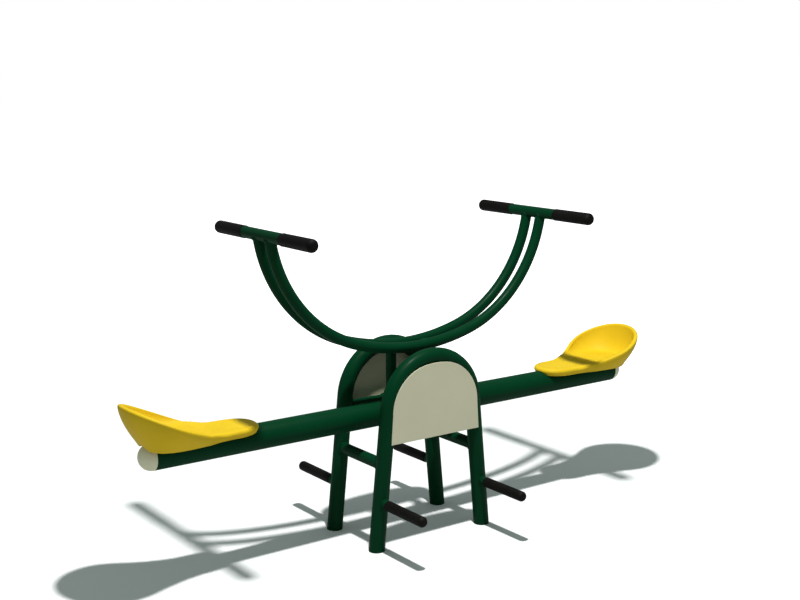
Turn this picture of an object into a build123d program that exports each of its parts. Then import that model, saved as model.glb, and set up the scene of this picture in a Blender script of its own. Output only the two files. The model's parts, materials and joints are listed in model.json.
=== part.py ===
from build123d import *
import math
import os

# A two-seat playground seesaw: a level round beam turns on an axle held between
# two arched tube hoops, and carries a spoon-shaped seat at each end and a
# U-shaped pair of handlebar arcs above the middle.
# Millimetres. X runs along the beam, Y across it, Z up. The origin is on the
# ground under the middle of the axle.

# ---- driving dimensions: stand ----
HOOP_Y = 142.0
HOOP_R = 30.0
HOOP_WALL = 3.0
FOOT_X = 250.5
ARCH_R = 198.0
ARCH_TOP_Z = 706.0
PANEL_T = 3.0
PANEL_LOW_Z = 403.0
RAIL_R = 25.0
CROSSBAR_R = 22.5
CROSSBAR_Z = 323.0
PEG_Z = 183.0
PEG_R = 17.0
PEG_GRIP_R = 19.5
PEG_GRIP_START = 190.0
PEG_TIP = 411.5
FOOT_PLATE_T = 6.0
ANCHOR_HOLE_R = 5.1
TUBE_WALL = 2.5

# ---- driving dimensions: pivot ----
PIVOT_Z = 476.0
AXLE_R = 15.0
AXLE_HALF = 170.0
BOSS_R = 22.0
BOSS_IN = 113.0
BOSS_OUT = 171.0
SLEEVE_R = 34.0
SLEEVE_HALF = 102.0
BEARING_R = 27.5
BEARING_W = 13.0
BEARING_IN = 84.0
BALL_R = 4.5
BALL_PITCH_R = 21.25
BALL_COUNT = 10

# ---- driving dimensions: rocker ----
BEAM_R = 47.5
BEAM_WALL = 3.5
TUBE_HALF = 1068.0
CAP_T = 1.5
CAP_WALL = 4.0
POST_X = 82.0
POST_R = 20.0
ARC_R = 20.5
ARC_Y = POST_R + ARC_R
ARC_LOW_Z = 724.0
CROWN_R = 895.0
ARC_HALF_SPAN = 627.5
SPRING_Z = 1260.0
HANDLE_Z = 1188.0
HANDLE_R = 21.5
GRIP_R = 23.4
GRIP_START = 130.0
GRIP_TIP = 329.0

# ---- driving dimensions: seats ----
SEAT_NOSE_X = 671.0
SEAT_STEP_X = 897.0
SEAT_WIDE_X = 1026.0
SEAT_TIP_X = 1169.0
SEAT_LOW_Z = 508.0
SEAT_ROOF_Z = 527.5
TONGUE_TOP_Z = 537.0
STEP_TOP_Z = 547.0
RIM_TIP_Z = 662.5
STEP_HALF_W = 110.0
WIDE_HALF_W = 159.0
TONGUE_HALF_W = 84.0
SEAT_WALL = 8.5
SEAT_PLATE_T = 4.0
SEAT_SCREW_R = 4.0

# ---- seat shell outlines: (x, half width) of each level's chord and widest place ----
BOWL_FOOT = ((897.0, 92.0), (985.0, 100.0), 1098.0)
BOWL_WAIST = ((897.0, 101.0), (1005.0, 134.0), 1136.0)
TONGUE_FOOT = ((897.0, 92.0), (790.0, 80.0), 678.0)
TONGUE_ROOT_HALF_W = 105.0
TONGUE_WIDE_X = 780.0
HOLLOW_FLOOR = ((921.0, 58.0), (990.0, 84.0), 1072.0)
HOLLOW_WAIST = ((906.0, 90.0), (1008.0, 123.0), 1126.0)
POCKET_TONGUE = ((898.0, 83.0), (790.0, 71.0), 687.0)
POCKET_BOWL = ((896.0, 83.0), (985.0, 91.0), 1089.0)
WAIST_Z = 524.0
HOLLOW_WAIST_Z = 543.0
WAIST_TILT_SHARE = 0.45
HOLLOW_TILT_SHARE = 0.5
RIM_T = 9.0
STEP_EDGE_T = 8.0
RIM_END_T = 10.0
ROOM_ABOVE = 14.0
SIDE_SWELL = 1.03
END_X_SHARE = 0.72
END_W_SHARE = 0.69

LEFT_RIGHT = {"left": -1, "right": 1}
FRONT_REAR = {"front": -1, "rear": 1}

os.makedirs("parts", exist_ok=True)


def save(name, *solids):
    """Write one node, which may hold several like solids."""
    shape = solids[0] if len(solids) == 1 else Compound(children=list(solids))
    shape.label = name
    export_step(shape, f"parts/{name}.step")


def rod(start, end, radius):
    """A round bar from one point to another."""
    run = Vector(*end) - Vector(*start)
    base = Align.CENTER, Align.CENTER, Align.MIN
    return Plane(origin=start, z_dir=run) * Cylinder(radius, run.length, align=base)


def pipe(start, end, radius, bore):
    """A round tube from one point to another."""
    return rod(start, end, radius) - rod(start, end, bore)


def swept(path, radius, bore=0.0):
    """A round tube, or a bar when there is no bore, along a smooth path."""
    section = Circle(radius)
    if bore:
        section -= Circle(bore)
    return sweep(Plane(origin=path @ 0, z_dir=path % 0) * section, path=path)


# ---- hoops: two bent tubes, each with leaning legs and a round arch ----
ARCH_Z = ARCH_TOP_Z - ARCH_R
LEG_RUN = math.hypot(FOOT_X, ARCH_Z)
LEG_ANGLE = math.atan2(ARCH_Z, -FOOT_X) - math.asin(ARCH_R / LEG_RUN)
LEG_LENGTH = math.sqrt(LEG_RUN ** 2 - ARCH_R ** 2)
SHOULDER_X = FOOT_X + LEG_LENGTH * math.cos(LEG_ANGLE)
SHOULDER_Z = LEG_LENGTH * math.sin(LEG_ANGLE)
UNDERGROUND = 20.0
FAR = 3000.0


def leg_x(z):
    """Distance of a leg's centre line from the middle at height z."""
    return FOOT_X - z * (FOOT_X - SHOULDER_X) / SHOULDER_Z


def hoop_path(y):
    low_x = leg_x(-UNDERGROUND)
    points = [(-low_x, -UNDERGROUND), (-SHOULDER_X, SHOULDER_Z), (0, ARCH_TOP_Z)]
    points += [(SHOULDER_X, SHOULDER_Z), (low_x, -UNDERGROUND)]
    left_foot, left_top, crown, right_top, right_foot = [Vector(x, y, z) for x, z in points]
    arch = ThreePointArc(left_top, crown, right_top)
    return Wire([Line(left_foot, left_top).edge(), arch.edge(), Line(right_top, right_foot).edge()])


ground = Pos(0, 0, -FAR / 2) * Box(FAR, FAR, FAR)
hoop_bars = {}
hoop_cores = {}
for side, sign in FRONT_REAR.items():
    path = hoop_path(sign * HOOP_Y)
    hoop_bars[side] = swept(path, HOOP_R) - ground
    hoop_cores[side] = swept(path, HOOP_R - HOOP_WALL) - ground
    save(f"{side}_hoop", hoop_bars[side] - hoop_cores[side])

# ---- foot plates and weld nuts: closing discs in the leg ends, threaded for anchors ----
slab = Pos(0, 0, FOOT_PLATE_T / 2) * Box(FAR, FAR, FOOT_PLATE_T)
NUT_H = 10.0
NUT_ACROSS = 18.0
anchor_spots = [(sx * FOOT_X, sy * HOOP_Y) for sx in (-1, 1) for sy in (-1, 1)]
foot_plates = []
foot_nuts = []
for x, y in anchor_spots:
    side = "front" if y < 0 else "rear"
    half = Pos(math.copysign(FAR / 2, x), 0, 0) * Box(FAR, FAR, FAR)
    drill = rod((x, y, -1), (x, y, FOOT_PLATE_T + NUT_H + 1), ANCHOR_HOLE_R)
    foot_plates.append((hoop_cores[side] & slab & half) - drill)
    nut = extrude(RegularPolygon(NUT_ACROSS / 2, 6, major_radius=False), NUT_H)
    foot_nuts.append(Pos(x, y, FOOT_PLATE_T) * nut - drill)
save("foot_plates", *foot_plates)
save("foot_nuts", *foot_nuts)

# ---- panels: arched steel sheets on the outer face of each hoop ----
PANEL_SIDE_X = 197.0
PANEL_CORNER_X = 204.5
PANEL_SPRING_Z = 512.0
PANEL_TOP_Z = 686.0
PANEL_CROWN_R = 300.0


def panel_outline():
    """Nearly straight sides, then two haunch arcs and a flatter crown arc, all tangent."""
    rise = PANEL_TOP_Z - PANEL_SPRING_Z
    drop = PANEL_CROWN_R - rise
    haunch = (PANEL_CROWN_R ** 2 - PANEL_SIDE_X ** 2 - drop ** 2) / (2 * (PANEL_CROWN_R - PANEL_SIDE_X))
    haunch_x = PANEL_SIDE_X - haunch
    turn = math.atan2(haunch_x, drop)
    middle = (math.pi / 2 + turn) / 2
    join = PANEL_CROWN_R * math.sin(turn), PANEL_TOP_Z - PANEL_CROWN_R * (1 - math.cos(turn))
    bulge = haunch_x + haunch * math.sin(middle), PANEL_SPRING_Z + haunch * math.cos(middle)
    corner, spring = (PANEL_CORNER_X, PANEL_LOW_Z), (PANEL_SIDE_X, PANEL_SPRING_Z)
    flip = [(-x, z) for x, z in (corner, spring, bulge, join)]
    return [
        Line(flip[0], corner),
        Line(corner, spring),
        ThreePointArc(spring, bulge, join),
        ThreePointArc(join, (0, PANEL_TOP_Z), flip[3]),
        ThreePointArc(flip[3], flip[2], flip[1]),
        Line(flip[1], flip[0]),
    ]


# Two short studs join each panel's haunches to the arch, which it stands clear of there.
STUD_R = 5.0
STUD_ARC_R = 178.0
STUD_TURN = math.radians(40)
panel_face = make_face(panel_outline())
stud_x = STUD_ARC_R * math.sin(STUD_TURN)
stud_z = ARCH_Z + STUD_ARC_R * math.cos(STUD_TURN)
for side, sign in FRONT_REAR.items():
    inner_y = HOOP_Y + HOOP_R
    start_y = -inner_y if sign < 0 else inner_y + PANEL_T
    sheet_plane = Plane(origin=(0, start_y, 0), x_dir=(1, 0, 0), z_dir=(0, -1, 0))
    save(f"{side}_panel", extrude(sheet_plane * panel_face, PANEL_T))
    studs = []
    for x in (-stud_x, stud_x):
        stud = rod((x, sign * HOOP_Y, stud_z), (x, sign * inner_y, stud_z), STUD_R) - hoop_bars[side]
        studs.append(stud.solids().sort_by(Axis.Y)[0 if sign < 0 else -1])
    save(f"{side}_panel_studs", *studs)

# ---- axle rails: a tube across each hoop at axle height, with a boss for the axle ----
rail_reach = leg_x(PIVOT_Z)
axle = rod((0, -AXLE_HALF, PIVOT_Z), (0, AXLE_HALF, PIVOT_Z), AXLE_R)
PIN_R = 4.0
bosses = []
pins = []
for side, sign in FRONT_REAR.items():
    y = sign * HOOP_Y
    pin = rod((0, y, PIVOT_Z - RAIL_R), (0, y, PIVOT_Z + BOSS_R), PIN_R)
    pins.append(pin)
    rail = pipe((-rail_reach, y, PIVOT_Z), (rail_reach, y, PIVOT_Z), RAIL_R, RAIL_R - HOOP_WALL)
    boss = rod((0, sign * BOSS_IN, PIVOT_Z), (0, sign * BOSS_OUT, PIVOT_Z), BOSS_R)
    save(f"{side}_axle_rail", rail - hoop_bars[side] - boss - pin)
    bosses.append(boss - axle - pin)
save("axle_bosses", *bosses)
save("pivot_axle", axle - pins[0] - pins[1])
save("axle_pins", *pins)

# ---- crossbars: one tube low between the two left legs, one between the right legs ----
for side, sign in LEFT_RIGHT.items():
    x = sign * leg_x(CROSSBAR_Z)
    bar = pipe((x, -HOOP_Y, CROSSBAR_Z), (x, HOOP_Y, CROSSBAR_Z), CROSSBAR_R, CROSSBAR_R - TUBE_WALL)
    save(f"{side}_crossbar", bar - hoop_bars["front"] - hoop_bars["rear"])


# ---- rubber grips: closed sleeves pushed over the tube ends ----
GRIP_END_T = 10.0
GRIP_DOME = 0.75
GRIP_LIP_R = 2.0


def grip(x, z, sign, start, tip, radius, bore):
    """A sleeve along Y with a rounded inner lip and a domed closed end."""
    outermost, innermost = (0, -1) if sign < 0 else (-1, 0)
    sleeve = rod((x, sign * start, z), (x, sign * tip, z), radius)
    rims = sleeve.edges().filter_by(GeomType.CIRCLE).sort_by(Axis.Y)
    sleeve = fillet(rims[outermost], radius * GRIP_DOME)
    rims = sleeve.edges().filter_by(GeomType.CIRCLE).sort_by(Axis.Y)
    sleeve = fillet(rims[innermost], GRIP_LIP_R)
    return sleeve - rod((x, sign * (start - 1), z), (x, sign * (tip - GRIP_END_T), z), bore)


# ---- foot pegs: a short tube out from each leg, with a rubber grip ----
for side, sx in LEFT_RIGHT.items():
    for row, sy in FRONT_REAR.items():
        x = sx * leg_x(PEG_Z)
        start = (x, sy * HOOP_Y, PEG_Z)
        end = (x, sy * (PEG_TIP - GRIP_END_T), PEG_Z)
        tube = pipe(start, end, PEG_R, PEG_R - TUBE_WALL)
        save(f"{row}_{side}_peg_tube", tube - hoop_bars[row])
        save(f"{row}_{side}_peg_grip", grip(x, PEG_Z, sy, PEG_GRIP_START, PEG_TIP, PEG_GRIP_R, PEG_R))

# ---- main beam: one straight round tube with a cross sleeve for the axle ----
beam_half = TUBE_HALF + CAP_T + BEAM_R
beam_bar = rod((-beam_half, 0, PIVOT_Z), (beam_half, 0, PIVOT_Z), BEAM_R)
sleeve_bar = rod((0, -SLEEVE_HALF, PIVOT_Z), (0, SLEEVE_HALF, PIVOT_Z), SLEEVE_R)
beam = pipe((-TUBE_HALF, 0, PIVOT_Z), (TUBE_HALF, 0, PIVOT_Z), BEAM_R, BEAM_R - BEAM_WALL)
save("main_beam", beam - sleeve_bar)

# ---- end caps: domed plastic plugs with a ribbed spigot ----
SPIGOT_L = 28.0
RIB_H = 1.5
RIB_STEPS = (6.0, 14.0, 22.0)
for side, sign in LEFT_RIGHT.items():
    dome_x = sign * (TUBE_HALF + CAP_T)
    spigot_r = BEAM_R - BEAM_WALL
    spigot_bore = spigot_r - 2 * RIB_H - CAP_WALL
    centre = Pos(dome_x, 0, PIVOT_Z)
    ball = centre * (Sphere(BEAM_R) - Sphere(BEAM_R - CAP_WALL))
    dome = ball & Pos(dome_x + sign * BEAM_R, 0, PIVOT_Z) * Box(2 * BEAM_R, 3 * BEAM_R, 3 * BEAM_R)
    flange = pipe((sign * TUBE_HALF, 0, PIVOT_Z), (dome_x, 0, PIVOT_Z), BEAM_R, spigot_bore)
    spigot_in = sign * (TUBE_HALF - SPIGOT_L)
    spigot = pipe((spigot_in, 0, PIVOT_Z), (sign * TUBE_HALF, 0, PIVOT_Z), spigot_r - RIB_H, spigot_bore)
    for step in RIB_STEPS:
        rib_x = sign * (TUBE_HALF - step)
        spigot += pipe((rib_x - RIB_H, 0, PIVOT_Z), (rib_x + RIB_H, 0, PIVOT_Z), spigot_r, spigot_r - 2 * RIB_H)
    save(f"{side}_end_cap", dome + flange + spigot)

# ---- pivot sleeve: a cross tube through the beam, with a bearing seat in each end ----
MIDDLE_BORE_R = 25.0
CIRCLIP_R = 29.0
CIRCLIP_T = 1.75
bearing_out = BEARING_IN + BEARING_W
sleeve = sleeve_bar - rod((0, -SLEEVE_HALF, PIVOT_Z), (0, SLEEVE_HALF, PIVOT_Z), MIDDLE_BORE_R)
for sign in (-1, 1):
    sleeve -= rod((0, sign * BEARING_IN, PIVOT_Z), (0, sign * SLEEVE_HALF, PIVOT_Z), BEARING_R)
    groove_ends = (0, sign * bearing_out, PIVOT_Z), (0, sign * (bearing_out + CIRCLIP_T), PIVOT_Z)
    sleeve -= rod(*groove_ends, CIRCLIP_R)
save("pivot_sleeve", sleeve)

# ---- bearings: inner and outer rings, balls, circlips, spacers and dust caps ----
INNER_RING_R = 19.0
OUTER_RING_BORE = 23.5
BALL_GAP = 0.3
CIRCLIP_BORE = 24.5
CIRCLIP_MOUTH = 9.0
DUST_CAP_T = 2.0
DUST_CAP_BORE = 20.5
DUST_SPIGOT_L = 2.5
inner_rings = []
outer_rings = []
balls = []
circlips = []
spacers = []
dust_caps = []
for sign in (-1, 1):
    inner, outer = (0, sign * BEARING_IN, PIVOT_Z), (0, sign * bearing_out, PIVOT_Z)
    clip_out = (0, sign * (bearing_out + CIRCLIP_T), PIVOT_Z)
    ball_y = sign * (BEARING_IN + BEARING_W / 2)
    track = Pos(0, ball_y, PIVOT_Z) * Rot(90, 0, 0)
    inner_rings.append(pipe(inner, outer, INNER_RING_R, AXLE_R) - track * Torus(BALL_PITCH_R, BALL_R + BALL_GAP))
    outer_rings.append(pipe(inner, outer, BEARING_R, OUTER_RING_BORE) - track * Torus(BALL_PITCH_R, BALL_R))
    for index in range(BALL_COUNT):
        turn = 2 * math.pi * index / BALL_COUNT
        spot = BALL_PITCH_R * math.cos(turn), ball_y, PIVOT_Z + BALL_PITCH_R * math.sin(turn)
        balls.append(Pos(*spot) * Sphere(BALL_R - 0.02))
    mouth = Pos(0, sign * bearing_out, PIVOT_Z - CIRCLIP_R) * Box(CIRCLIP_MOUTH, 4 * CIRCLIP_T, 2 * CIRCLIP_MOUTH)
    circlips.append(pipe(outer, clip_out, CIRCLIP_R, CIRCLIP_BORE) - mouth)
    spacers.append(pipe(outer, (0, sign * BOSS_IN, PIVOT_Z), INNER_RING_R, AXLE_R))
    rim = (0, sign * SLEEVE_HALF, PIVOT_Z)
    cover = pipe(rim, (0, sign * (SLEEVE_HALF + DUST_CAP_T), PIVOT_Z), SLEEVE_R, DUST_CAP_BORE)
    dust_caps.append(cover + pipe((0, sign * (SLEEVE_HALF - DUST_SPIGOT_L), PIVOT_Z), rim, BEARING_R, DUST_CAP_BORE))
save("bearing_inner_rings", *inner_rings)
save("bearing_outer_rings", *outer_rings)
save("bearing_balls", *balls)
save("bearing_circlips", *circlips)
save("axle_spacers", *spacers)
save("dust_caps", *dust_caps)

# ---- handlebar posts: two upright tubes from the beam to the arcs ----
POST_TOP_Z = 735.0
POST_CAP_T = 5.0
post_caps = []
for side, sign in LEFT_RIGHT.items():
    x = sign * POST_X
    post = pipe((x, 0, PIVOT_Z), (x, 0, POST_TOP_Z), POST_R, POST_R - TUBE_WALL)
    save(f"{side}_post", post - beam_bar)
    post_caps.append(rod((x, 0, POST_TOP_Z - POST_CAP_T), (x, 0, POST_TOP_Z), POST_R - TUBE_WALL))
save("post_caps", *post_caps)

# ---- handlebar arcs: twin bent tubes, a flat crown arc and two tighter side arcs each ----
depth = SPRING_Z - ARC_LOW_Z
arc_lift = CROWN_R - depth
side_r = (CROWN_R ** 2 - ARC_HALF_SPAN ** 2 - arc_lift ** 2) / (2 * (CROWN_R - ARC_HALF_SPAN))
side_x = ARC_HALF_SPAN - side_r
crown_turn = math.atan2(side_x, arc_lift)
end_turn = math.acos((SPRING_Z - HANDLE_Z) / side_r)
handle_x = side_x + side_r * math.sin(end_turn)


def side_point(turn):
    """A point on the right-hand side arc, turned up from straight down."""
    return side_x + side_r * math.sin(turn), SPRING_Z - side_r * math.cos(turn)


def arc_path(y):
    join, bend, end = side_point(crown_turn), side_point((crown_turn + end_turn) / 2), side_point(end_turn)
    right = [Vector(x, y, z) for x, z in (join, bend, end)]
    left = [Vector(-x, y, z) for x, z in (end, bend, join)]
    crown = ThreePointArc(left[2], Vector(0, y, ARC_LOW_Z), right[0])
    return Wire([ThreePointArc(*left).edge(), crown.edge(), ThreePointArc(*right).edge()])


handle_bars = []
for side, sign in LEFT_RIGHT.items():
    x = sign * handle_x
    ends = (x, -(GRIP_TIP - GRIP_END_T), HANDLE_Z), (x, GRIP_TIP - GRIP_END_T, HANDLE_Z)
    handle_bars.append(rod(*ends, HANDLE_R))
    save(f"{side}_handle", pipe(*ends, HANDLE_R, HANDLE_R - TUBE_WALL))
    for row, sy in FRONT_REAR.items():
        save(f"{row}_{side}_hand_grip", grip(x, HANDLE_Z, sy, GRIP_START, GRIP_TIP, GRIP_R, HANDLE_R))
for row, sign in FRONT_REAR.items():
    arc = swept(arc_path(sign * ARC_Y), ARC_R, ARC_R - TUBE_WALL)
    save(f"{row}_arc", arc - handle_bars[0] - handle_bars[1])

# ---- seats: a spoon-shaped plastic shell, a deep bowl outboard and a low tongue inboard ----
rim_slope = (RIM_TIP_Z - STEP_TOP_Z) / (SEAT_TIP_X - SEAT_STEP_X)
RIM_TILT = -math.degrees(math.atan(rim_slope))


def ring(level_z, tilt, outline):
    """A closed D outline on a tilted plane: a straight chord across the seat and a round end.

    The outline is (x, half width) of the chord and of the widest place, and the round end's x.
    """
    (start_x, start_w), (wide_x, wide_w), tip_x = outline
    plane = Plane(origin=(start_x, 0, level_z)) * Rot(0, tilt, 0)
    stretch = 1 / math.cos(math.radians(tilt))
    reach, round_end = wide_x - start_x, tip_x - wide_x
    side = [(0, start_w), (reach / 2, (start_w + wide_w) / 2 * SIDE_SWELL), (reach, wide_w)]
    side.append((reach + round_end * END_X_SHARE, wide_w * END_W_SHARE))
    points = [(x * stretch, y) for x, y in side]
    points.append(((reach + round_end) * stretch, 0))
    points += [(x, -y) for x, y in reversed(points[:-1])]
    return plane * make_face([Spline(*points).edge(), Line(points[-1], points[0]).edge()])


def rim_outline(edge_t, side_t, end_t):
    """The rim's outline, moved inwards by a wall at the step, at the sides and at the back."""
    step = (SEAT_STEP_X, STEP_HALF_W - edge_t)
    return step, (SEAT_WIDE_X, WIDE_HALF_W - side_t), SEAT_TIP_X - end_t


def right_seat():
    """The whole shell: bowl and tongue, hollow below, notched over the beam."""
    tongue_rim = ((SEAT_STEP_X, TONGUE_ROOT_HALF_W), (TONGUE_WIDE_X, TONGUE_HALF_W), SEAT_NOSE_X)
    bowl_low = ring(SEAT_LOW_Z, 0, BOWL_FOOT)
    bowl_mid = ring(WAIST_Z, RIM_TILT * WAIST_TILT_SHARE, BOWL_WAIST)
    bowl_rim = ring(STEP_TOP_Z, RIM_TILT, rim_outline(0, 0, 0))
    tongue_low = ring(SEAT_LOW_Z, 0, TONGUE_FOOT)
    tongue_top = ring(TONGUE_TOP_Z, 0, tongue_rim)
    shell = loft([bowl_low, bowl_mid, bowl_rim]) + loft([tongue_low, tongue_top])
    floor = ring(SEAT_ROOF_Z + SEAT_WALL, 0, HOLLOW_FLOOR)
    hollow_mid = ring(HOLLOW_WAIST_Z, RIM_TILT * HOLLOW_TILT_SHARE, HOLLOW_WAIST)
    hollow_rim = ring(STEP_TOP_Z, RIM_TILT, rim_outline(STEP_EDGE_T, RIM_T, RIM_END_T))
    above = ring(STEP_TOP_Z + ROOM_ABOVE, RIM_TILT, rim_outline(STEP_EDGE_T / 2, RIM_T * 2 / 3, RIM_END_T / 2))
    shell -= loft([floor, hollow_mid, hollow_rim, above])
    pocket_depth = SEAT_ROOF_Z - SEAT_LOW_Z + 1
    for outline in (POCKET_TONGUE, POCKET_BOWL):
        shell -= extrude(ring(SEAT_LOW_Z - 1, 0, outline), pocket_depth)
    return shell - beam_bar


# ---- seat plates and screws: a steel plate on the beam inside each seat, six screws from below ----
PLATE_HALF_W = 61.0
PLATE_IN_X = 745.0
PLATE_OUT_X = 1038.0
SCREW_Y = 48.0
SCREW_XS = (775.0, 892.0, 1008.0)
SCREW_TIP_Z = SEAT_ROOF_Z + 5.5
HEAD_ACROSS = 13.0
HEAD_H = 5.3
plate_low = SEAT_ROOF_Z - SEAT_PLATE_T
seat = right_seat()
plate_mid = (PLATE_IN_X + PLATE_OUT_X) / 2
plate_box = Box(PLATE_OUT_X - PLATE_IN_X, 2 * PLATE_HALF_W, SEAT_PLATE_T)
plate = Pos(plate_mid, 0, plate_low + SEAT_PLATE_T / 2) * fillet(plate_box.edges().filter_by(Axis.Z), 12)
screws = []
for x in SCREW_XS:
    for y in (-SCREW_Y, SCREW_Y):
        shank = rod((x, y, plate_low), (x, y, SCREW_TIP_Z), SEAT_SCREW_R)
        head = extrude(RegularPolygon(HEAD_ACROSS / 2, 6, major_radius=False), HEAD_H)
        plate -= shank
        seat -= shank
        screws.append(shank + Pos(x, y, plate_low - HEAD_H) * head)
for side, sign in LEFT_RIGHT.items():
    for name, solids in (("seat", [seat]), ("seat_plate", [plate]), ("seat_screws", screws)):
        save(f"{side}_{name}", *[s if sign > 0 else mirror(s, about=Plane.YZ) for s in solids])
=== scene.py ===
import json
import math
import bmesh
import bpy
from mathutils import Matrix, Vector


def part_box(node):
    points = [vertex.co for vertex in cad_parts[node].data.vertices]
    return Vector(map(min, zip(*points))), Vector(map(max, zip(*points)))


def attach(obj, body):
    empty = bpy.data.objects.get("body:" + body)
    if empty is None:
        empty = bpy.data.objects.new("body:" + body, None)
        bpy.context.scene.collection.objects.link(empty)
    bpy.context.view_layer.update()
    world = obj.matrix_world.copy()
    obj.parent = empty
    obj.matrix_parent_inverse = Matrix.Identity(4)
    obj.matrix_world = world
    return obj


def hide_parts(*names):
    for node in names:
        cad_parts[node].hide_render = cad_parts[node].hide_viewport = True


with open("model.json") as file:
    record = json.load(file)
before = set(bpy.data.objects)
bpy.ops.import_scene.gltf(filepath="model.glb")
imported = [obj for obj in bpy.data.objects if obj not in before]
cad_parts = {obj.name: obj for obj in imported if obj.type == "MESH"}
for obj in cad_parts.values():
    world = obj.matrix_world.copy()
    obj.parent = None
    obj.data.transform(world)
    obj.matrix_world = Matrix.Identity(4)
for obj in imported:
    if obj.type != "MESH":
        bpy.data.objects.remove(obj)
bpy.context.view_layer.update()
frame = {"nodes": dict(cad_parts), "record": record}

record = frame["record"]
MM = 0.001


# ---- Hoops -------------------------------------------------------------
# Two bent steel tubes, each with two leaning legs and a round arch. They
# are welded to everything else in the stand, then the whole stand is
# powder coated dark green in one go.
class Shade:
    """An output of a shader node. Sums, differences and products of them become Math nodes."""

    def __init__(self, tree, socket):
        self.tree, self.socket = tree, socket

    def node(self, kind, settings=None, inputs=None, output=0):
        """Adds a node of any kind, with its settings first and then its sockets, by name or by place."""
        made = self.tree.nodes.new(kind)
        for name, value in (settings or {}).items():
            if name == "stops":
                for place, colour in value[2:]:
                    made.color_ramp.elements.new(place)
                for stop, (place, colour) in zip(made.color_ramp.elements, sorted(value)):
                    stop.position, stop.color = place, (*colour, 1)
            else:
                setattr(made, name, value)
        for name, value in (inputs or {}).items():
            if isinstance(value, Shade):
                self.tree.links.new(value.socket, made.inputs[name])
            else:
                made.inputs[name].default_value = value
        return Shade(self.tree, made.outputs[output])

    def math(self, operation, *values):
        return self.node("ShaderNodeMath", {"operation": operation}, dict(enumerate(values)))

    def __add__(self, other):
        return self.math("ADD", self, other)

    def __radd__(self, other):
        return self.math("ADD", other, self)

    def __sub__(self, other):
        return self.math("SUBTRACT", self, other)

    def __rsub__(self, other):
        return self.math("SUBTRACT", other, self)

    def __mul__(self, other):
        return self.math("MULTIPLY", self, other)

    def __rmul__(self, other):
        return self.math("MULTIPLY", other, self)

    def between(self, low, high):
        """0 below low, 1 above high, and smooth from one to the other."""
        sockets = {"Value": self, "From Min": low, "From Max": high}
        return self.node("ShaderNodeMapRange", {"interpolation_type": "SMOOTHSTEP"}, sockets)

    def mix(self, none, full):
        """A colour between two, with this value as the share of the second."""
        sockets = {0: self, 6: (*none, 1) if isinstance(none, tuple) else none}
        sockets[7] = (*full, 1) if isinstance(full, tuple) else full
        return self.node("ShaderNodeMix", {"data_type": "RGBA"}, sockets, 2)

    def noise(self, scale, detail=3.0, roughness=0.5):
        sockets = {"Vector": self, "Scale": scale, "Detail": detail, "Roughness": roughness}
        return self.node("ShaderNodeTexNoise", None, sockets)

    def bump(self, strength, depth, under=None):
        sockets = {"Height": self, "Strength": strength, "Distance": depth}
        if under:
            sockets["Normal"] = under
        return self.node("ShaderNodeBump", None, sockets)


def new_finish(name, **constants):
    """A material, its Principled shader and the place on the piece. Constants go straight on the sockets."""
    material = bpy.data.materials.new(name)
    material.use_nodes = True
    tree = material.node_tree
    skin = tree.nodes["Principled BSDF"]
    for socket, value in constants.items():
        skin.inputs[socket.replace("_", " ")].default_value = value
    place = Shade(tree, tree.nodes.new("ShaderNodeTexCoord").outputs["Object"])
    return material, skin, place


def feed(skin, **shades):
    for socket, shade in shades.items():
        shade.tree.links.new(shade.socket, skin.inputs[socket.replace("_", " ")])


def powder_coat(name, colour, pale, gloss, shine):
    """Baked powder paint: faint orange peel, slight clouding, a few rubbed and dusty patches."""
    material, skin, place = new_finish(name, Coat_Roughness=0.22, Specular_IOR_Level=shine)
    clouds = place.noise(9.0, 4.0).between(0.3, 0.75)
    specks = place.noise(260.0, 2.0).between(0.52, 0.72)
    rubbed = place.noise(38.0, 6.0, 0.62).between(0.56, 0.8)
    tint = (clouds * 0.5 + specks * 0.16).mix(colour, pale)
    feed(skin, Base_Color=tint, Roughness=gloss + rubbed * 0.14 + clouds * 0.04)
    peel = place.noise(420.0, 2.0) * 0.6 + place.noise(130.0, 1.0) * 0.4
    feed(skin, Coat_Weight=0.02 - rubbed * 0.02, Normal=peel.bump(0.16, 0.35 * MM))
    return material


def dress(material, *nodes):
    """Gives CAD nodes that keep their own shape their finished material."""
    for node in nodes:
        for place in frame["nodes"][node].material_slots:
            place.material = material


GREEN, GREEN_PALE = (0.0004, 0.0320, 0.0105), (0.0008, 0.0400, 0.0140)
green_paint = powder_coat("green_powder_coat", GREEN, GREEN_PALE, 0.42, 0.04)
dress(green_paint, "front_hoop", "rear_hoop")
anchors = next(m for m in record["mounts"] if m["name"] == "ground_anchors")["dims"]
foot_x, hoop_y = anchors["spacing_x_mm"] / 2 * MM, anchors["spacing_y_mm"] / 2 * MM
hoop_low, hoop_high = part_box("rear_hoop")
hoop_r = (hoop_high.y - hoop_low.y) / 2


def middle(node):
    low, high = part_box(node)
    return (low + high) / 2


# ---- Foot plates and nuts ----------------------------------------------
# Steel discs welded into the leg ends, each with a nut welded on its
# upper side for the anchor stud that comes up out of the footing.
def plated(name, colour, dull, roughness):
    """Zinc or ground steel: a brushed sheen with cloudy, slightly darker patches."""
    material, skin, place = new_finish(name, Metallic=1.0)
    clouds = place.noise(55.0, 4.0).between(0.3, 0.7)
    fine = place.noise(1400.0, 2.0)
    feed(skin, Base_Color=clouds.mix(colour, dull), Roughness=roughness + clouds * 0.12)
    feed(skin, Normal=fine.bump(0.08, 0.1 * MM))
    return material


zinc = plated("zinc_plating", (0.56, 0.57, 0.58), (0.38, 0.39, 0.40), 0.34)
ground_steel = plated("ground_steel", (0.55, 0.55, 0.55), (0.42, 0.42, 0.43), 0.22)
dress(green_paint, "foot_plates")
dress(zinc, "foot_nuts")


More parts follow.
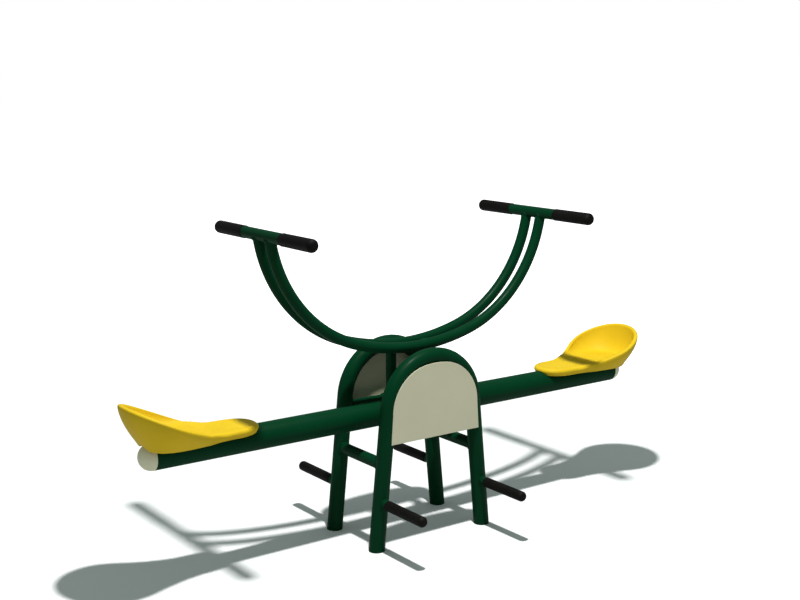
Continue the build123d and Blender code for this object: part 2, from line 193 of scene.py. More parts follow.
# ---- Crossbars ---------------------------------------------------------
# Round tubes that tie the front legs to the rear legs. Their ends are
# cut to the curve of the leg and welded all round.
def finished(name, mesh, body, material):
    """Makes a smooth-shaded piece of a bmesh, with its material, and lets it ride on a body."""
    bmesh.ops.remove_doubles(mesh, verts=mesh.verts, dist=0.001 * MM)
    bmesh.ops.recalc_face_normals(mesh, faces=mesh.faces)
    data = bpy.data.meshes.new(name)
    mesh.to_mesh(data)
    mesh.free()
    data.materials.append(material)
    data.shade_smooth()
    piece = bpy.data.objects.new(name, data)
    bpy.context.collection.objects.link(piece)
    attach(piece, body)
    return piece


def loops_to_faces(mesh, loops, closed_round, closed_along=False):
    """Joins neighbouring loops of points with quads."""
    rows = [[mesh.verts.new(p) for p in loop] for loop in loops]
    count = len(rows[0])
    pairs = list(zip(rows, rows[1:])) + ([(rows[-1], rows[0])] if closed_along else [])
    for one, two in pairs:
        for i in range(count if closed_round else count - 1):
            j = (i + 1) % count
            mesh.faces.new((one[i], one[j], two[j], two[i]))
    return rows


RIPPLE_STEP = 2.4 * MM
RIPPLE_DEPTH = 0.14
RIPPLE_SIDES = 10
WANDER_DEPTH = 0.05
WANDER_RATE = 310.0


def weld_bead(name, body, points, radius, closed=True):
    """A rippled bead of weld metal along a run of points."""
    points = [Vector(p) for p in points]
    mesh = bmesh.new()
    loops = []
    travelled = 0.0
    last = len(points) - 1
    for i, point in enumerate(points):
        before = points[i - 1] if closed or i else point
        after = points[(i + 1) % len(points)] if closed or i < last else point
        along = (after - before).normalized()
        travelled += (point - points[i - 1]).length if i else 0.0
        side = along.orthogonal().normalized() if i == 0 else (side - along * side.dot(along)).normalized()
        up = along.cross(side)
        ripple = 1 + RIPPLE_DEPTH * abs(math.sin(math.pi * travelled / RIPPLE_STEP))
        ripple += WANDER_DEPTH * math.sin(travelled * WANDER_RATE)
        if not closed:
            ripple *= max(0.03, min(1.0, i / 4, (last - i) / 4))
        turns = [2 * math.pi * k / RIPPLE_SIDES for k in range(RIPPLE_SIDES)]
        loops.append([point + (side * math.cos(t) + up * math.sin(t)) * radius * ripple for t in turns])
    if closed:
        first_side = (loops[0][0] - points[0]).normalized()
        last_sides = [(corner - points[-1]).normalized() for corner in loops[-1]]
        shift = min(range(RIPPLE_SIDES), key=lambda k: last_sides[k].angle(first_side))
        rows = loops_to_faces(mesh, loops, True)
        for k in range(RIPPLE_SIDES):
            one, two = rows[-1], rows[0]
            a, b = (k + shift) % RIPPLE_SIDES, (k + 1 + shift) % RIPPLE_SIDES
            mesh.faces.new((one[a], one[b], two[(k + 1) % RIPPLE_SIDES], two[k]))
    else:
        rows = loops_to_faces(mesh, loops, True)
        for row in (rows[0], rows[-1]):
            mesh.faces.new(row)
    return finished(name, mesh, body, green_paint)


def saddle(start, along, radius, main_point, main_along, main_radius, grow=0.6 * MM):
    """The closed curve where a round branch tube runs out into the side of a main tube."""
    start, along = Vector(start), Vector(along).normalized()
    main_point, main_along = Vector(main_point), Vector(main_along).normalized()
    side = along.orthogonal().normalized()
    up = along.cross(side)
    count = max(48, int(2 * math.pi * radius / (RIPPLE_STEP / 4)))
    curve = []
    for k in range(count):
        turn = 2 * math.pi * k / count
        rim = start + (side * math.cos(turn) + up * math.sin(turn)) * (radius + grow)
        away = rim - main_point
        away -= main_along * away.dot(main_along)
        run = along - main_along * along.dot(main_along)
        a, b = run.dot(run), run.dot(away)
        c = away.dot(away) - (main_radius + grow) ** 2
        reach = (-b + math.sqrt(max(b * b - a * c, 0.0))) / a
        curve.append(rim + along * reach)
    return curve


BEAD_R = 3.2 * MM
dress(green_paint, "left_crossbar", "right_crossbar")
crossbar_low, crossbar_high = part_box("right_crossbar")
crossbar_r = (crossbar_high.x - crossbar_low.x) / 2
crossbar = middle("right_crossbar")
for side, sx in (("left", -1), ("right", 1)):
    foot = Vector((sx * foot_x, 0, 0))
    leg_run = Vector((sx * crossbar.x, 0, crossbar.z)) - foot
    for row, sy in (("front", -1), ("rear", 1)):
        leg_foot = foot + Vector((0, sy * hoop_y, 0))
        leg_join = Vector((sx * crossbar.x, sy * hoop_y, crossbar.z))
        curve = saddle(leg_join, (0, -sy, 0), crossbar_r, leg_foot, leg_run, hoop_r)
        weld_bead(f"{row}_{side}_crossbar_weld", "stand", curve, BEAD_R)

# ---- Axle rails and bosses ---------------------------------------------
# A tube across each hoop at axle height, and a short thick boss through
# its middle that holds the axle's end. Both are welded and painted.
dress(green_paint, "front_axle_rail", "rear_axle_rail", "axle_bosses")
rail_low, rail_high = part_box("rear_axle_rail")
rail_r = (rail_high.y - rail_low.y) / 2
rail = middle("rear_axle_rail")
boss_low, boss_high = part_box("axle_bosses")
boss_r = (boss_high.x - boss_low.x) / 2
for row, sy in (("front", -1), ("rear", 1)):
    centre = Vector((0, sy * hoop_y, rail.z))
    for side, sx in (("left", -1), ("right", 1)):
        leg_foot = Vector((sx * foot_x, sy * hoop_y, 0))
        leg_run = Vector((sx * crossbar.x, sy * hoop_y, crossbar.z)) - leg_foot
        leg_join = leg_foot + leg_run * (rail.z / leg_run.z)
        curve = saddle(leg_join, (-sx, 0, 0), rail_r, leg_foot, leg_run, hoop_r)
        weld_bead(f"{row}_{side}_rail_weld", "stand", curve, BEAD_R)
    for face, way in (("inner", -sy), ("outer", sy)):
        curve = saddle(centre, (0, way, 0), boss_r, centre, (1, 0, 0), rail_r)
        weld_bead(f"{row}_{face}_boss_weld", "stand", curve, 2.2 * MM)

# ---- Foot peg tubes ----------------------------------------------------
# A short tube stands straight out from each leg for the foot peg's
# rubber. It is cut to the leg's curve and welded all round.
for side, sx in (("left", -1), ("right", 1)):
    for row, sy in (("front", -1), ("rear", 1)):
        tube = f"{row}_{side}_peg_tube"
        dress(green_paint, tube)
        low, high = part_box(tube)
        peg = middle(tube)
        leg_foot = Vector((sx * foot_x, sy * hoop_y, 0))
        leg_run = Vector((sx * crossbar.x, sy * hoop_y, crossbar.z)) - leg_foot
        peg_join, peg_r = (peg.x, sy * hoop_y, peg.z), (high.z - low.z) / 2
        curve = saddle(peg_join, (0, sy, 0), peg_r, leg_foot, leg_run, hoop_r)
        weld_bead(f"{row}_{side}_peg_weld", "stand", curve, 2.6 * MM)

# ---- Panels ------------------------------------------------------------
# Arched sheets of steel, cream powder coated, flat against the outer
# side of each hoop. Two studs behind the arch hold each of them.
cream_paint = powder_coat("cream_powder_coat", (0.595, 0.570, 0.405), (0.640, 0.615, 0.440), 0.48, 0.12)
dress(green_paint, "front_panel_studs", "rear_panel_studs")
PANEL_SPRING_X, PANEL_SPRING_Z = 197 * MM, 512 * MM
PANEL_CROWN_R = 300 * MM
PANEL_EDGE_R = 0.8 * MM
PANEL_FACE_INSET = 2.5 * MM


def panel_outline(low, high):
    """Round the sheet: straight sides, two haunch arcs and a flatter crown arc, all tangent."""
    drop = PANEL_CROWN_R - (high.z - PANEL_SPRING_Z)
    haunch_r = (PANEL_CROWN_R ** 2 - PANEL_SPRING_X ** 2 - drop ** 2) / (2 * (PANEL_CROWN_R - PANEL_SPRING_X))
    haunch_x = PANEL_SPRING_X - haunch_r
    turn = math.atan2(haunch_x, drop)
    half = [(0.0, low.z), (high.x * 0.5, low.z), (high.x, low.z)]
    side = [k / 8 for k in range(1, 8)]
    half += [(high.x + (PANEL_SPRING_X - high.x) * t, low.z + (PANEL_SPRING_Z - low.z) * t) for t in side]
    haunch = [math.pi / 2 + (turn - math.pi / 2) * k / 28 for k in range(29)]
    half += [(haunch_x + haunch_r * math.sin(t), PANEL_SPRING_Z + haunch_r * math.cos(t)) for t in haunch]
    crown = [turn * (1 - k / 16) for k in range(1, 17)]
    half += [(PANEL_CROWN_R * math.sin(t), high.z - PANEL_CROWN_R * (1 - math.cos(t))) for t in crown]
    return half + [(-x, z) for x, z in reversed(half[1:-1])]


def panel_sheet(name, node, sy):
    """A flat sheet with softly rounded edges, built from its outline in rings."""
    low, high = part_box(node)
    outline = panel_outline(low, high)
    count = len(outline)
    inner_y, outer_y = (low.y, high.y) if sy > 0 else (high.y, low.y)
    way = 1 if outer_y > inner_y else -1

    def loop(inset, y):
        points = []
        for i, (x, z) in enumerate(outline):
            (x0, z0), (x1, z1) = outline[i - 1], outline[(i + 1) % count]
            size = math.hypot(x1 - x0, z1 - z0)
            points.append((x - (z1 - z0) / size * inset, y, z + (x1 - x0) / size * inset))
        return points

    mesh = bmesh.new()
    rounds = [math.pi / 2 * k / 3 for k in range(4)]
    falls = [(PANEL_EDGE_R * (1 - math.sin(t)), PANEL_EDGE_R * (1 - math.cos(t))) for t in rounds]
    loops = [loop(PANEL_FACE_INSET, inner_y)]
    loops += [loop(inset, inner_y + way * depth) for inset, depth in falls]
    loops += [loop(inset, outer_y - way * depth) for inset, depth in reversed(falls)]
    loops.append(loop(PANEL_FACE_INSET, outer_y))
    rows = loops_to_faces(mesh, loops, True)
    for row in (rows[0], rows[-1]):
        mesh.faces.new(row)
    piece = finished(name, mesh, "stand", cream_paint)
    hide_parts(node)
    return piece


for row, sy in (("front", -1), ("rear", 1)):
    panel_sheet(f"{row}_arch_panel", f"{row}_panel", sy)

# ---- Axle, pins, spacers and bearings ----------------------------------
# A ground steel axle pinned into the bosses. A ball bearing sits at each
# end of the beam's cross sleeve, held by a circlip and closed by a cap.
dress(ground_steel, "pivot_axle", "axle_pins", "axle_spacers")
dress(ground_steel, "bearing_inner_rings", "bearing_outer_rings", "bearing_balls", "bearing_circlips")


def moulded(name, colour, pale, roughness, grain, depth, shine=0.22):
    """Moulded plastic or rubber: one colour with faint flow clouds and a fine matt grain."""
    material, skin, place = new_finish(name, Specular_IOR_Level=shine)
    flow = place.noise(14.0, 3.0).between(0.3, 0.72)
    rubbed = place.noise(60.0, 6.0, 0.62).between(0.5, 0.78)
    feed(skin, Base_Color=flow.mix(colour, pale), Roughness=roughness + rubbed * 0.12)
    pits = place.noise(grain, 2.0) * 0.7 + place.noise(grain * 2.7, 1.0) * 0.3
    feed(skin, Normal=pits.bump(0.22, depth))
    return material


BLACK, BLACK_PALE = (0.012, 0.012, 0.012), (0.020, 0.020, 0.019)
black_plastic = moulded("black_moulding", BLACK, BLACK_PALE, 0.42, 900.0, 0.15 * MM)
dress(black_plastic, "dust_caps")

# ---- Beam and sleeve ---------------------------------------------------
# One straight round tube. A thick cross sleeve goes through its middle
# for the bearings, welded to the beam where it comes out on each side.
dress(green_paint, "main_beam", "pivot_sleeve")
beam_low, beam_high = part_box("main_beam")
beam_r = (beam_high.y - beam_low.y) / 2
beam = middle("main_beam")
sleeve_low, sleeve_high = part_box("pivot_sleeve")
sleeve_r = (sleeve_high.x - sleeve_low.x) / 2
for row, sy in (("front", -1), ("rear", 1)):
    curve = saddle(beam, (0, sy, 0), sleeve_r, beam, (1, 0, 0), beam_r)
    weld_bead(f"{row}_sleeve_weld", "rocker", curve, BEAD_R)


# ---- Beam end caps -----------------------------------------------------
# Pale polyethylene plugs knocked into the beam's ends: a round dome on
# a thin flange, with a ribbed spigot inside the tube.
def turned(name, body, start, along, profile, material, sides=72):
    """A piece turned round an axis from (distance along, radius) points."""
    start, along = Vector(start), Vector(along).normalized()
    side = along.orthogonal().normalized()
    up = along.cross(side)
    mesh = bmesh.new()
    turns = [2 * math.pi * k / sides for k in range(sides)]
    spokes = [side * math.cos(t) + up * math.sin(t) for t in turns]
    loops = [[start + along * reach + spoke * radius for spoke in spokes] for reach, radius in profile]
    loops_to_faces(mesh, loops, True)
    return finished(name, mesh, body, material)


def quarter(centre, radius, first, last, steps=8):
    """Points of a round corner, from one angle to another in degrees."""
    turns = [math.radians(first + (last - first) * k / steps) for k in range(steps + 1)]
    return [(centre[0] + radius * math.cos(t), centre[1] + radius * math.sin(t)) for t in turns]


cap_plastic = moulded("cap_polyethylene", (0.68, 0.655, 0.46), (0.74, 0.715, 0.51), 0.46, 700.0, 0.15 * MM)
for side, sx in (("left", -1), ("right", 1)):
    cap = f"{side}_end_cap"
    low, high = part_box(cap)
    tube_end = beam_high.x
    reach = max(high.x, -low.x) - tube_end
    flange_r = beam_r - 0.1 * MM
    spigot_r = flange_r - 3.6 * MM
    profile = [(-28 * MM, spigot_r - 9 * MM), (-28 * MM, spigot_r - 3 * MM)]
    valley_r = spigot_r - 1.6 * MM
    for rib in (-22, -14, -6):
        profile += [((rib - 2) * MM, valley_r), (rib * MM, spigot_r), ((rib + 2) * MM, valley_r)]
    profile += [(0.15 * MM, valley_r), (0.15 * MM, flange_r - 0.7 * MM)]
    profile += quarter((0.85 * MM, flange_r - 0.7 * MM), 0.7 * MM, 180, 90, 4)
    profile += [(2.2 * MM, flange_r), (2.6 * MM, flange_r - 0.45 * MM), (3.0 * MM, flange_r - 0.5 * MM)]
    dome = reach - 3.2 * MM
    turns = [math.pi / 2 * k / 26 for k in range(26)]
    profile += [(3.2 * MM + dome * math.sin(t), (flange_r - 0.4 * MM) * math.cos(t)) for t in turns]
    profile += [(reach - 0.05 * MM, 1.8 * MM), (reach - 0.3 * MM, 1.2 * MM), (reach - 0.35 * MM, 0.0)]
    start = (sx * tube_end, 0, beam.z)
    piece = turned(f"{side}_beam_cap", "rocker", start, (sx, 0, 0), profile, cap_plastic)
    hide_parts(cap)

# ---- Handlebar posts ---------------------------------------------------
# Two upright tubes, welded round the beam. Their tops stand between the
# two handlebar arcs and are closed by small steel discs.
dress(green_paint, "left_post", "right_post", "post_caps")
post_low, post_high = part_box("right_post")
post_r = (post_high.y - post_low.y) / 2
post = middle("right_post")
for side, sx in (("left", -1), ("right", 1)):
    centre = Vector((sx * post.x, 0, beam.z))
    curve = saddle(centre, (0, 0, 1), post_r, beam, (1, 0, 0), beam_r)
    weld_bead(f"{side}_post_weld", "rocker", curve, BEAD_R)

# ---- Handlebar arcs and handles ----------------------------------------
# Twin bent tubes side by side, open between them, with a straight cross
# tube welded on their ends at each side for the hands.
dress(green_paint, "front_arc", "rear_arc", "left_handle", "right_handle")
arc_low, arc_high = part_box("rear_arc")
arc_y, arc_r = (arc_low.y + arc_high.y) / 2, (arc_high.y - arc_low.y) / 2
handle_low, handle_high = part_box("right_handle")
handle_r = (handle_high.x - handle_low.x) / 2
handle = middle("right_handle")
ARC_END_LEAN = 0.14
for side, sx in (("left", -1), ("right", 1)):
    for row, sy in (("front", -1), ("rear", 1)):
        join = Vector((sx * handle.x, sy * arc_y, handle.z))
        curve = saddle(join, (-sx * ARC_END_LEAN, 0, -1), arc_r, join, (0, 1, 0), handle_r)
        weld_bead(f"{row}_{side}_handle_weld", "rocker", curve, 2.6 * MM)

# ---- Rubber grips ------------------------------------------------------
# Closed black rubber sleeves pushed over the handle ends and the foot
# pegs: a small collar at the open end and a domed, closed tip.
RUBBER, RUBBER_PALE = (0.0018, 0.0014, 0.0010), (0.0034, 0.0028, 0.0020)
rubber = moulded("black_rubber", RUBBER, RUBBER_PALE, 0.62, 520.0, 0.22 * MM, 0.12)
COLLAR_L = 6.0 * MM
VENT_R = 1.6 * MM


def grip_profile(length, radius, bore):
    """Collar, shallow groove, faintly swollen body, domed tip with a vent dimple."""
    dome = radius * 0.75
    groove = radius - 0.7 * MM
    body = radius - 0.25 * MM
    profile = [(length * 0.5, bore), (0.6 * MM, bore), (0.0, bore + 0.6 * MM), (0.0, radius - 1.6 * MM)]
    profile += quarter((1.6 * MM, radius - 1.6 * MM), 1.6 * MM, 180, 90, 6)
    profile += [(COLLAR_L - 0.8 * MM, radius), (COLLAR_L, radius - 0.2 * MM), (COLLAR_L + 0.7 * MM, groove)]
    profile += [(COLLAR_L + 1.9 * MM, groove), (COLLAR_L + 2.8 * MM, body - 0.2 * MM)]
    body_start, body_end = COLLAR_L + 4 * MM, length - dome
    for k in range(15):
        swell = 0.25 * MM * math.sin(math.pi / 2 * k / 14)
        profile.append((body_start + (body_end - body_start) * k / 14, body + swell))
    profile += quarter((length - dome, radius - dome), dome, 90, 6, 16)[1:]
    profile += [(length, radius - dome), (length, VENT_R + 0.5 * MM), (length - 0.3 * MM, VENT_R)]
    profile += [(length - 0.5 * MM, VENT_R * 0.6), (length - 0.55 * MM, 0.0)]
    return profile


for side, sx in (("left", -1), ("right", 1)):
    for row, sy in (("front", -1), ("rear", 1)):
        peg_kind = ("peg", "stand", f"{row}_{side}_peg_tube")
        hand_kind = ("hand", "rocker", f"{side}_handle")
        for kind, body, tube in (peg_kind, hand_kind):
            node = f"{row}_{side}_{kind}_grip"
            low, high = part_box(node)
            tube_low, tube_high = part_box(tube)
            inner_y = low.y if sy > 0 else high.y
            bore = (tube_high.z - tube_low.z) / 2 + 0.05 * MM
            centre = (low + high) / 2
            profile = grip_profile(high.y - low.y, (high.z - low.z) / 2, bore)
            start = (centre.x, inner_y, centre.z)
            name = f"{row}_{side}_{kind}_rubber"
            piece = turned(name, body, start, (0, sy, 0), profile, rubber)
            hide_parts(node)

# ---- Seats -------------------------------------------------------------
# Spoon-shaped yellow plastic shells, one moulding each: a deep bowl with
# a rolled rim outboard, a low step, and a flat tongue inboard. They sit
# astride the beam on a hidden steel plate.
seat_low, seat_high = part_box("right_seat")
NOSE, TIP = seat_low.x, seat_high.x
SEAT_BASE, RIM_TOP = seat_low.z, seat_high.z
STEP_X = NOSE + 226 * MM
WIDE_X = TIP - 143 * MM
WIDE_W = seat_high.y - 0.3 * MM
STEP_W = 110 * MM
TONGUE_W = 84 * MM
TONGUE_X = NOSE + 109 * MM
TONGUE_Z = SEAT_BASE + 29 * MM
STEP_Z = SEAT_BASE + 39 * MM
FLOOR_Z = SEAT_BASE + 31 * MM
ROOF_Z = SEAT_BASE + 19.5 * MM
BACK_FOOT = TIP - 71 * MM
LIP = 17 * MM
FLOOR_SHARE = 0.66
BASE_SWELL = 104 * MM
BASE_POWER = 2.9
BASE_SWELL_SHARE = 0.4
STEEPNESS = 0.985


def smooth(t):
    t = min(max(t, 0.0), 1.0)
    return t * t * (3 - 2 * t)


def hermite(t, y0, y1, m0, m1):
    """A cubic from y0 to y1 with end slopes m0 and m1 over a unit run."""
    t2, t3 = t * t, t ** 3
    return (2 * t3 - 3 * t2 + 1) * y0 + (t3 - 2 * t2 + t) * m0 + (3 * t2 - 2 * t3) * y1 + (t3 - t2) * m1


def rim_width(x):
    """Half the width of the seat, over its outer edge."""
    if x < TONGUE_X:
        return TONGUE_W * max(0.0, 1 - ((TONGUE_X - x) / (TONGUE_X - NOSE)) ** 2.3) ** (1 / 2.3)
    if x < STEP_X:
        run = STEP_X - TONGUE_X
        return hermite((x - TONGUE_X) / run, TONGUE_W, STEP_W, 0.02 * run, 0.36 * run)
    if x < WIDE_X:
        run = WIDE_X - STEP_X
        return hermite((x - STEP_X) / run, STEP_W, WIDE_W, 0.36 * run, 0.0)
    return WIDE_W * math.sqrt(max(0.0, 1 - ((x - WIDE_X) / (TIP - WIDE_X)) ** 2))


def rim_height(x):
    """The top of the edge: level along the tongue, up to the step, then climbing to the back."""
    if x < STEP_X:
        return TONGUE_Z + (STEP_Z - TONGUE_Z) * smooth((x - STEP_X + 80 * MM) / (80 * MM))
    return STEP_Z + (RIM_TOP - STEP_Z) * ((x - STEP_X) / (TIP - STEP_X)) ** 1.03


def edge_round(x):
    """How far the outer edge is rounded over: broad on the tongue, tighter round the bowl."""
    return (12 - 5 * smooth((x - STEP_X + 70 * MM) / (80 * MM))) * MM


def top_height(x, y, inner_w):
    """The seat's own surface: dished tongue, step, level floor and walls that turn up to the rim."""
    if x < STEP_X - 1.5 * MM:
        share = min(1.0, abs(y) / max(inner_w, MM))
        low = TONGUE_Z - 2.0 * MM * smooth((x - NOSE) / (50 * MM))
        return low + (rim_height(x) - 0.4 * MM - low) * share ** 5
    rise = smooth((x - STEP_X + 1.5 * MM) / (3 * MM))
    dip = smooth((x - STEP_X) / (70 * MM))
    level = (TONGUE_Z - 2.0 * MM) * (1 - rise) + STEP_Z * rise - (STEP_Z - FLOOR_Z) * dip
    bowl_reach, bowl_w = TIP - LIP - WIDE_X, WIDE_W - LIP
    if x > WIDE_X:
        out = math.hypot((x - WIDE_X) / bowl_reach, y / bowl_w)
        edge_x = WIDE_X + (x - WIDE_X) / max(out, 0.01)
    else:
        out, edge_x = abs(y) / max(inner_w, MM), x
    share = max(0.0, min(out, 1.0) - FLOOR_SHARE) / (1 - FLOOR_SHARE)
    climb = (1 - math.sqrt(1 - (STEEPNESS * share) ** 2)) / (1 - math.sqrt(1 - STEEPNESS ** 2))
    return level + (rim_height(min(edge_x, TIP)) - 1.2 * MM - level) * climb


def base_point(x):
    """Where the skirt that starts at x on the rim comes down: (x, half width) of the bottom edge."""
    if x < STEP_X:
        w = rim_width(x)
        tuck = 4 * MM + 8 * MM * smooth((x - TONGUE_X) / (STEP_X - TONGUE_X))
        low_x = NOSE + 7 * MM + (x - NOSE) * (STEP_X - NOSE - 7 * MM) / (STEP_X - NOSE)
        return low_x, max(0.0, w - tuck) * min(1.0, w / (20 * MM))
    t = (x - STEP_X) / (TIP - STEP_X)
    start = STEP_W - 12 * MM
    width = start + (BASE_SWELL - start) * smooth(t / BASE_SWELL_SHARE)
    outer = max(t - BASE_SWELL_SHARE, 0) / (1 - BASE_SWELL_SHARE)
    return STEP_X + (BACK_FOOT - STEP_X) * t, width * max(0.0, 1 - outer ** BASE_POWER) ** (1 / BASE_POWER)


def clear_of_beam(y, z):
    """Keeps the skirt's lower edge on top of the round beam."""
    if abs(y) >= beam_r:
        return z
    return max(z, beam.z + math.sqrt(beam_r ** 2 - y * y) + 0.3 * MM)


def stations():
    """Places along the seat, closer together at both ends and at the step."""
    places = [NOSE + (TONGUE_X - NOSE) * (1 - math.cos(math.pi / 2 * k / 22)) for k in range(22)]
    places += [TONGUE_X + (STEP_X - 6 * MM - TONGUE_X) * k / 12 for k in range(12)]
    places += [STEP_X + d * MM for d in (-6, -4, -2.6, -1.5, -0.9, -0.3, 0.3, 0.9, 1.5, 2.6, 4, 6)]
    places += [STEP_X + 6 * MM + (WIDE_X - STEP_X - 6 * MM) * k / 18 for k in range(1, 18)]
    places += [WIDE_X + (TIP - WIDE_X) * math.sin(math.pi / 2 * k / 30) for k in range(31)]
    return places


COLUMNS = 48
WALL_ROWS = 24


def seat_mesh(sx):
    """The whole shell as one closed mesh; sx is the side of the axle that it is on."""
    places = stations()
    outline = [(x, rim_width(x)) for x in places]
    last = len(places) - 1

    def edge_normal(i):
        if i in (0, last):
            return (-1.0, 0.0) if i == 0 else (1.0, 0.0)
        (x0, w0), (x1, w1) = outline[i - 1], outline[i + 1]
        size = math.hypot(x1 - x0, w1 - w0)
        return (w0 - w1) / size, (x1 - x0) / size

    def inset(i, depth):
        """A point of the edge moved inwards by depth, for the right-hand half."""
        (x, w), (nx, nw) = outline[i], edge_normal(i)
        return x - nx * depth, max(0.0, w - nw * depth)

    mesh = bmesh.new()
    top = []
    for i, place in enumerate(places):
        x, w = inset(i, LIP)
        shares = [math.sin(math.pi * (k / COLUMNS - 0.5)) for k in range(COLUMNS + 1)]
        top.append([(x, share * w, top_height(x, share * w, w)) for share in shares])

    def ring(make):
        """A closed loop round the edge: up the +Y side from nose to tip, then back."""
        out = [make(i, 1) for i in range(last + 1)]
        return out + [make(i, -1) for i in range(last - 1, 0, -1)]

    def lip_loop(share, drop):
        """On the flat of the rim: share is from its outer rounding in to the seat's own surface."""
        def make(i, sy):
            x, w = inset(i, edge_round(places[i]) + (LIP - edge_round(places[i])) * share)
            return x, sy * w, rim_height(places[i]) - drop
        return ring(make)

    def round_loop(turn):
        """Over the rounded outer edge, from its top at 0 to its side at 90 degrees."""
        def make(i, sy):
            r = edge_round(places[i])
            x, w = inset(i, r * (1 - math.sin(turn)))
            return x, sy * w, rim_height(places[i]) - r * (1 - math.cos(turn))
        return ring(make)

    def wall_loop(v):
        """Down the outside: slowly inwards at first, then more, and out again to a small foot bead."""
        def make(i, sy):
            (x, w), (low_x, low_w) = outline[i], base_point(places[i])
            z_top = rim_height(places[i]) - edge_round(places[i])
            share = v ** 1.6
            bead = 1.3 * MM * smooth((v - 0.90) / 0.06)
            nx, nw = edge_normal(i)
            y = max(0.0, w + (low_w - w) * share + nw * bead)
            z = z_top + (SEAT_BASE + 1.6 * MM - z_top) * v
            return x + (low_x - x) * share + nx * bead, sy * y, max(z, clear_of_beam(y, SEAT_BASE + 1.6 * MM))
        return ring(make)

    def base_loop(depth, z, notch=True):
        def make(i, sy):
            low_x, low_w = base_point(places[i])
            x0, w0 = base_point(places[max(i - 1, 0)])
            x1, w1 = base_point(places[min(i + 1, last)])
            size = math.hypot(x1 - x0, w1 - w0) or 1.0
            nx, nw = (w0 - w1) / size, (x1 - x0) / size
            if i in (0, last):
                nx, nw = (-1.0, 0.0) if i == 0 else (1.0, 0.0)
            y = max(0.0, low_w - nw * depth)
            return low_x - nx * depth, sy * y, clear_of_beam(y, z) if notch else z
        return ring(make)

    rows = [[mesh.verts.new(p) for p in row] for row in top]
    for one, two in zip(rows, rows[1:]):
        for k in range(COLUMNS):
            mesh.faces.new((one[k], one[k + 1], two[k + 1], two[k]))
    loops = [ring(lambda i, sy: top[i][COLUMNS if sy > 0 else 0])]
    loops += [lip_loop(share, drop * MM) for share, drop in ((0.8, 0.5), (0.6, 0.1), (0.3, 0.0))]
    loops += [round_loop(math.pi / 2 * k / 8) for k in range(9)]
    loops += [wall_loop(k / WALL_ROWS) for k in range(1, WALL_ROWS + 1)]
    loops += [base_loop(0.2 * MM, SEAT_BASE + 0.4 * MM), base_loop(1.8 * MM, SEAT_BASE)]
    loops += [base_loop(6.5 * MM, SEAT_BASE), base_loop(8.5 * MM, SEAT_BASE + 1.5 * MM)]
    loops.append(base_loop(8.5 * MM, ROOF_Z - 2 * MM))
    loops += [base_loop(10 * MM, ROOF_Z - 0.5 * MM, False), base_loop(12 * MM, ROOF_Z, False)]
    rings = loops_to_faces(mesh, loops, True)
    roof = rings[-1]
    count = len(roof)
    for i in range(1, last):
        one, two = i, i + 1
        opposite_one, opposite_two = (count - i) % count, (count - i - 1) % count
        if two <= last and one != opposite_one:
            corners = [roof[one], roof[two], roof[opposite_two], roof[opposite_one]]
            unique = list(dict.fromkeys(corners))
            if len(unique) > 2:
                mesh.faces.new(unique)
    mesh.faces.new((roof[0], roof[1], roof[count - 1]))
    for vert in mesh.verts:
        vert.co.x *= sx
    return mesh


def seat_finish():
    """Sun-yellow moulded plastic with a fine grain, faint flow marks and sliding scuffs in the bowl."""
    material, skin, place = new_finish("yellow_moulding", Specular_IOR_Level=0.10, Coat_Roughness=0.4)
    flow = place.noise(7.0, 3.0).between(0.3, 0.75)
    streaks = place.node("ShaderNodeMapping", None, {"Vector": place, "Scale": (6.0, 90.0, 90.0)})
    scuffs = streaks.noise(1.6, 7.0, 0.66).between(0.58, 0.74)
    tint = flow.mix((0.650, 0.438, 0.0105), (0.705, 0.480, 0.015))
    tint = (scuffs * 0.08).mix(tint, (0.85, 0.74, 0.34))
    feed(skin, Base_Color=tint, Roughness=0.58 + scuffs * 0.12, Coat_Weight=0.02 - scuffs * 0.02)
    grain = place.noise(620.0, 2.0) * 0.7 + place.noise(1500.0, 1.0) * 0.3
    feed(skin, Normal=(grain + scuffs * 0.25).bump(0.18, 0.2 * MM))
    return material


yellow = seat_finish()
for side, sx in (("left", -1), ("right", 1)):
    piece = finished(f"{side}_seat_shell", seat_mesh(sx), "rocker", yellow)
    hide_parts(f"{side}_seat")

# ---- Seat plates and screws --------------------------------------------
# A zinc plated steel plate welded on the beam under each seat, and the
# hexagon screws that hold the seat to it from below.
for side in ("left", "right"):
    dress(zinc, f"{side}_seat_plate", f"{side}_seat_screws")

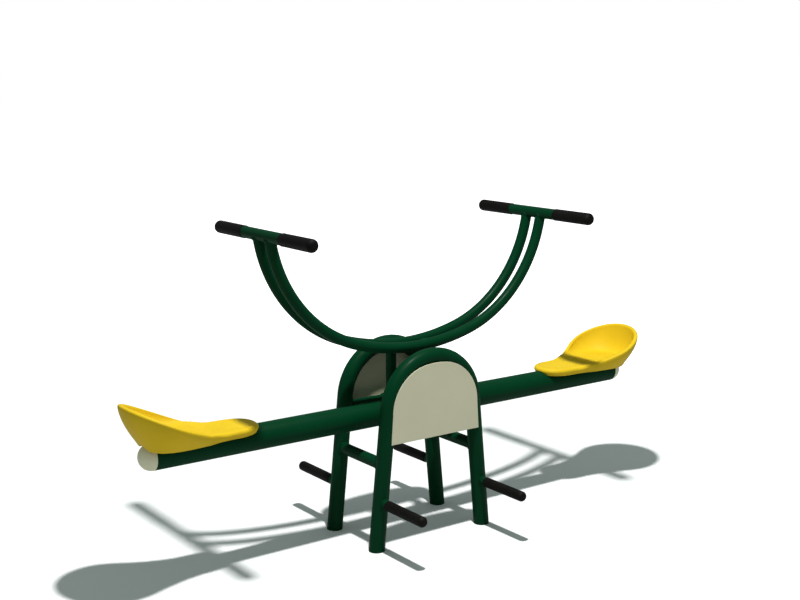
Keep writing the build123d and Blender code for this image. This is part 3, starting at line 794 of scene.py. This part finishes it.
# ---- Floor, light and camera -------------------------------------------
# A plain pale floor, one soft lamp high over the front of the seesaw, and
# an even pale surround.
FLOOR_HALF = 60.0
floor_mesh = bmesh.new()
floor_corners = [(x * FLOOR_HALF, y * FLOOR_HALF, 0.0) for x, y in ((-1, -1), (1, -1), (1, 1), (-1, 1))]
floor_mesh.faces.new([floor_mesh.verts.new(corner) for corner in floor_corners])
floor_data = bpy.data.meshes.new("floor")
floor_mesh.to_mesh(floor_data)
floor_mesh.free()
FLOOR_FIXED = {"Roughness": 0.9, "Specular_IOR_Level": 0.0, "Emission_Strength": 1.0}
floor_finish, floor_skin, floor_place = new_finish("pale_floor", **FLOOR_FIXED)
seen = floor_place.node("ShaderNodeLightPath")
away = floor_place.node("ShaderNodeVectorMath", {"operation": "LENGTH"}, {0: floor_place}, 1)
feed(floor_skin, Base_Color=seen.mix((0.45, 0.455, 0.45), (0.80, 0.812, 0.806)))
feed(floor_skin, Emission_Color=(seen * away.between(1.7, 3.6)).mix((0.0, 0.0, 0.0), (0.9, 0.9, 0.9)))
floor_data.materials.append(floor_finish)
floor = bpy.data.objects.new("floor", floor_data)
bpy.context.collection.objects.link(floor)

LAMP_PLACE = (-0.347, -0.772, 3.58)
LAMP_R = 0.075
LAMP_STRENGTH = 50.0
lamp_data = bpy.data.lights.new("lamp", "POINT")
lamp_data.energy = 1.0
lamp_data.shadow_soft_size = LAMP_R
lamp_data.use_nodes = True
lamp_tree = lamp_data.node_tree
lamp_shade = Shade(lamp_tree, lamp_tree.nodes["Emission"].outputs[0])
steady = lamp_shade.node("ShaderNodeLightFalloff", None, {"Strength": LAMP_STRENGTH}, 2)
lamp_tree.links.new(steady.socket, lamp_tree.nodes["Emission"].inputs["Strength"])
lamp = bpy.data.objects.new("lamp", lamp_data)
lamp.location = LAMP_PLACE
bpy.context.collection.objects.link(lamp)

world = bpy.data.worlds.new("surround")
bpy.context.scene.world = world
world.use_nodes = True
sky = world.node_tree.nodes["Background"]
sky_seen = Shade(world.node_tree, None).node("ShaderNodeLightPath")
world.node_tree.links.new(sky_seen.mix((0.262, 0.310, 0.300), (1.0, 1.0, 1.0)).socket, sky.inputs["Color"])

camera_data = bpy.data.cameras.new("camera")
camera_data.sensor_width = 36.0
camera_data.lens = 57.35
camera = bpy.data.objects.new("camera", camera_data)
camera.location = (-2.8067, -3.8126, 1.7682)
YAW, PITCH = math.radians(35.96), math.radians(10.45)
look = Vector((math.sin(YAW) * math.cos(PITCH), math.cos(YAW) * math.cos(PITCH), -math.sin(PITCH)))
camera.rotation_mode = "QUATERNION"
camera.rotation_quaternion = look.to_track_quat("-Z", "Y")
bpy.context.collection.objects.link(camera)
bpy.context.scene.camera = camera
bpy.context.scene.view_settings.view_transform = "Standard"
